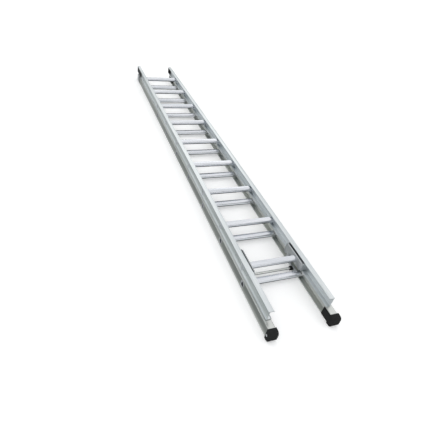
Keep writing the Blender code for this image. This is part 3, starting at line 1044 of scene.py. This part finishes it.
def dome(x0, x1, radius):
    """(x, radius) steps of a low dome that rises from x0 to x1, with a dot of a flat on top."""
    steps = 7
    dot = 0.05 * MM
    found = []
    for k in range(steps + 1):
        angle = math.radians(90 * k / steps)
        found.append((x0 + (x1 - x0) * math.sin(angle), max(radius * math.cos(angle), dot)))
    return found


def make_rivet(node, side):
    """A rivet with a wide domed head outside the web and an upset tail inside it."""
    low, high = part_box(node)
    tip, head = sorted((abs(low.x), abs(high.x)))
    shank = 2.5 * MM
    steps = [(tip, shank * 0.9), (tip + 0.4 * MM, shank * 1.5), (tip + 1.5 * MM, shank * 1.7)]
    steps += [(tip + 1.6 * MM, shank), (head - 2.0 * MM, shank)]
    steps += [(head - 1.9 * MM, shank * 1.9)]
    steps += dome(head - 1.5 * MM, head, shank * 2.0)
    turned("_turned", node, side, steps)


def make_bolt(node, side):
    """A bolt with a flat flanged head, hollow in the middle."""
    low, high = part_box(node)
    tip, head = sorted((abs(low.x), abs(high.x)))
    steps = [(tip, 2.4 * MM), (tip + 0.6 * MM, 3.0 * MM), (head - 2.7 * MM, 3.0 * MM)]
    steps += [(head - 2.6 * MM, 6.0 * MM), (head - 1.6 * MM, 6.2 * MM)]
    steps += [(head - 0.5 * MM, 5.2 * MM), (head, 3.6 * MM)]
    steps += [(head, 2.4 * MM), (head - 1.2 * MM, 2.2 * MM)]
    turned("_turned", node, side, steps)


def make_pin(node, side):
    """A pivot pin with a domed head at each end."""
    low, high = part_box(node)
    inner, outer = sorted((abs(low.x), abs(high.x)))
    steps = dome(inner + 1.6 * MM, inner, 6.6 * MM)
    steps.reverse()
    steps += [(inner + 3.4 * MM, 6.6 * MM), (inner + 3.5 * MM, 4.0 * MM)]
    steps += [(outer - 1.8 * MM, 4.0 * MM), (outer - 1.7 * MM, 5.6 * MM)]
    steps += dome(outer - 1.2 * MM, outer, 5.4 * MM)
    turned("_turned", node, side, steps)


for side_name, side in SIDES:
    for k in (1, 2):
        make_rivet(f"guide_rivet_{side_name}_{k}", side)
        make_rivet(f"hook_rivet_{side_name}_{k}", side)
    make_bolt(f"shoe_bolt_{side_name}", side)
    make_pin(f"pivot_pin_{side_name}", side)


def make_tie_bar():
    """The bar across the hooks, with a small chamfer round each end."""
    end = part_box("tie_bar")[1].x
    radius = 6.0 * MM
    face = 4.4 * MM
    chamfer = 0.5 * MM
    steps = [(-end, face), (-end, radius - chamfer), (chamfer - end, radius)]
    steps += [(end - chamfer, radius), (end, radius - chamfer), (end, face)]
    turned("_tube", "tie_bar", 1, steps, 40)


make_tie_bar()


# ---------------------------------------------------------------- collars and springs
def make_collars():
    """The fluted collars at the ends of the tie bar."""
    tree = flutes_tree()
    radius = 11.2 * MM
    bore = 6.3 * MM
    round_off = 1.4 * MM  # how far the rounded edge comes in from each end and the rim
    along, down = 0.5 * MM, 0.4 * MM  # the point half way round that edge
    for side_name, side in SIDES:
        node = f"hook_collar_{side_name}"
        low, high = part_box(node)
        inner, outer = sorted((abs(low.x), abs(high.x)))
        steps = [(inner, bore), (inner, radius - round_off)]
        steps += [(inner + along, radius - down), (inner + round_off, radius)]
        steps += [(outer - round_off, radius), (outer - along, radius - down)]
        steps += [(outer, radius - round_off), (outer, bore)]
        turned("_sleeve", node, side, steps, 40, "joined")
        values = {
            "Centre": tuple(middle(node)),
            "Count": 22,
            "Collar Radius": radius - 0.1 * MM,
            "Flute Radius": 0.8 * MM,
            "Flute Length": outer - inner - 3.4 * MM,
        }
        grow_from(node + "_flutes", tree, values, "black_plastic", BODY_OF[node])


def make_springs():
    """A coil round each pivot pin, which stands for the whole spring."""
    tree = coil_tree()
    for side_name, _ in SIDES:
        node = f"hook_spring_{side_name}"
        low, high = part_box(node)
        pin = middle(f"pivot_pin_{side_name}")
        wire = 0.6 * MM
        values = {
            "Start": (low.x + wire, pin.y, pin.z),
            "Turns": 2.25,
            "Coil Radius": 5.4 * MM,
            "Width": high.x - low.x - 2 * wire,
            "Wire Radius": wire,
        }
        piece = grow_from(node + "_coil", tree, values, "fastener_steel", BODY_OF[node])
        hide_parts(node)


make_collars()
make_springs()


# ---------------------------------------------------------------- castings, caps and shoes
EASED_PARTS = (  # piece, CAD part, width of the rounded edge, steps in it
    ("hook_casting", "hook", 1.2 * MM, 3),
    ("bracket_casting", "hook_bracket", 0.6 * MM, 2),
    ("guide_casting", "guide_bracket", 0.6 * MM, 2),
    ("base_end_plug", "base_cap", 0.9 * MM, 3),
    ("fly_end_plug", "fly_cap", 0.7 * MM, 3),
    ("rubber_shoe", "shoe", 1.0 * MM, 3),
)

for side_name, _ in SIDES:
    for name, part, width, steps in EASED_PARTS:
        eased(f"{name}_{side_name}", f"{part}_{side_name}", width, steps)


def add_grip_ribs():
    """Ribs up the outside of each shoe and across the outside of each fly cap."""
    tree = ribs_tree()
    for side_name, side in SIDES:
        node = f"shoe_{side_name}"
        low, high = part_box(node)
        outer = side * max(abs(low.x), abs(high.x))
        values = {
            "Start": (outer - side * 0.4 * MM, low.y + 13 * MM, low.z + 14 * MM),
            "Step": (0.0, 0.0, 8.0 * MM),
            "Count": 5,
            "Rib Radius": 1.1 * MM,
            "Rib Length": 12 * MM,
            "Turn": (math.radians(90), 0.0, 0.0),
        }
        grow_from(node + "_ribs", tree, values, "black_rubber", BODY_OF[node])
        node = f"fly_cap_{side_name}"
        low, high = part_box(node)
        outer = side * max(abs(low.x), abs(high.x))
        values = {
            "Start": (outer - side * 0.5 * MM, low.y + 18 * MM, middle(node).z + 2.3 * MM),
            "Step": (0.0, 5.0 * MM, 0.0),
            "Count": 9,
            "Rib Radius": 0.7 * MM,
            "Rib Length": 36 * MM,
            "Turn": (0.0, 0.0, 0.0),
        }
        grow_from(node + "_ribs", tree, values, "black_plastic", BODY_OF[node])


add_grip_ribs()


# ---------------------------------------------------------------- studio
def add_floor():
    """A pale floor, a hair below the ladder so that the two don't share a plane."""
    bm = bmesh.new()
    reach = 30.0
    level = -0.2 * MM
    corners = ((-reach, -reach), (reach, -reach), (reach, reach), (-reach, reach))
    bm.faces.new([bm.verts.new((x, y, level)) for x, y in corners])
    mesh = bpy.data.meshes.new("studio_floor")
    bm.to_mesh(mesh)
    bm.free()
    floor = new_object("studio_floor", mesh)
    mesh.materials.append(studio_paint("matt_white_paint"))
    floor.visible_glossy = False  # the metal mirrors the room's darker lower half instead


def add_backdrop():
    """A pale round wall with a coved foot, far enough out to be a plain background from any
    side. Only the camera sees it, so the room's light comes through it."""
    radius, cove, top = 26.0, 4.0, 24.0
    wall_steps, cove_steps = 96, 8
    profile = [(radius, top)]
    for k in range(cove_steps + 1):
        angle = math.radians(90 * k / cove_steps)
        profile.append((radius - cove + cove * math.cos(angle), cove - cove * math.sin(angle)))
    turns = [math.tau * k / wall_steps for k in range(wall_steps)]
    rings = [
        [(away * math.cos(turn), away * math.sin(turn), height) for turn in turns]
        for away, height in profile
    ]
    bm = bmesh.new()
    skin(bm, rings, "open")
    mesh = bpy.data.meshes.new("studio_wall")
    bm.to_mesh(mesh)
    bm.free()
    mesh.materials.append(studio_paint("matt_white_wall_paint"))
    smooth(mesh, 60)
    wall = new_object("studio_wall", mesh)
    wall.visible_glossy = False
    wall.visible_diffuse = False
    wall.visible_shadow = False


LIGHT_SIDE = (-0.50, -0.45, 0.74)
ROOM_TONES = (
    (-1.00, "0C0E0D"),
    (-0.74, "2A2D2C"),
    (-0.60, "9AA09D"),
    (-0.42, "C9CECC"),
    (-0.20, "FAFBFC"),
    (0.00, "FFFFFF"),
)

add_camera()
add_floor()
add_backdrop()
add_surround(LIGHT_SIDE, ROOM_TONES, 1.0)
add_softbox("far_softbox", (2.0, 5.3, 3.7), (-0.15, -0.3, 0.1), 2.5, 10.0, "FFFDF8")
bpy.context.scene.view_settings.view_transform = "Standard"
